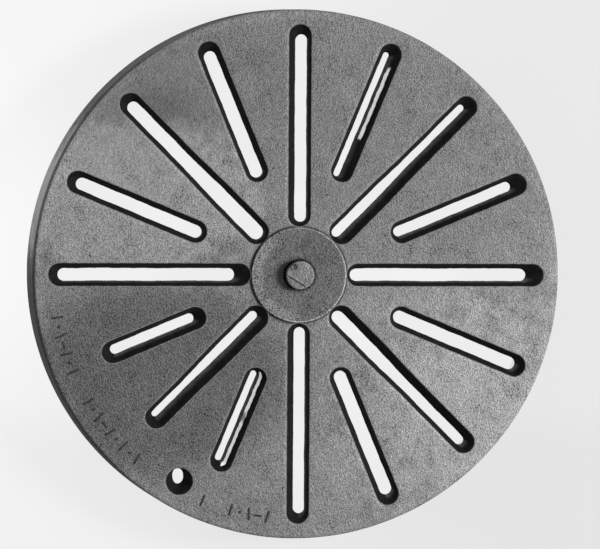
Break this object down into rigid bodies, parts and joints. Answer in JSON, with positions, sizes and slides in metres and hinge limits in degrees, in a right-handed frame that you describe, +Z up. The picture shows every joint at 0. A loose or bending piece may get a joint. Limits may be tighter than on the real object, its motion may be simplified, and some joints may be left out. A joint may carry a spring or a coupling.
{
  "type": "manhole cover",
  "caption": "Round cast-iron slotted cover with radial slots, a deep rim wall and a lifting-rod hole, turning on a headed pin in a flanged hub.",
  "frame": {"origin": "centre of the cover on the plane that the rim wall stands on", "axes": "+Z up, out of the walking face and along the pivot pin; +X and +Y each along a long slot, with the lifting-rod hole at 240 degrees from +X"},
  "size_m": [0.3044, 0.3044, 0.0466],
  "materials": {
    "cast_iron": "sand-cast, fine grain, lightly mottled",
    "hub_iron": "sand-cast, a little darker and finer",
    "pin_steel": "dull, worn",
    "bush_bronze": "turned bronze",
    "plated_steel": "dull zinc plate"
  },
  "bodies": {
    "pivot": {"pivot_pin": "pin_steel", "thrust_washer": "plated_steel", "split_pin": "plated_steel"},
    "cover": {"cover_plate": "cast_iron", "hub_flange": "hub_iron", "bearing_bush": "bush_bronze"}
  },
  "joints": [
    {"name": "cover_turn", "type": "hinge", "parent": "pivot", "child": "cover", "pos_m": [0, 0, 0.04], "axis": [0, 0, 1], "continuous": true}
  ]
}
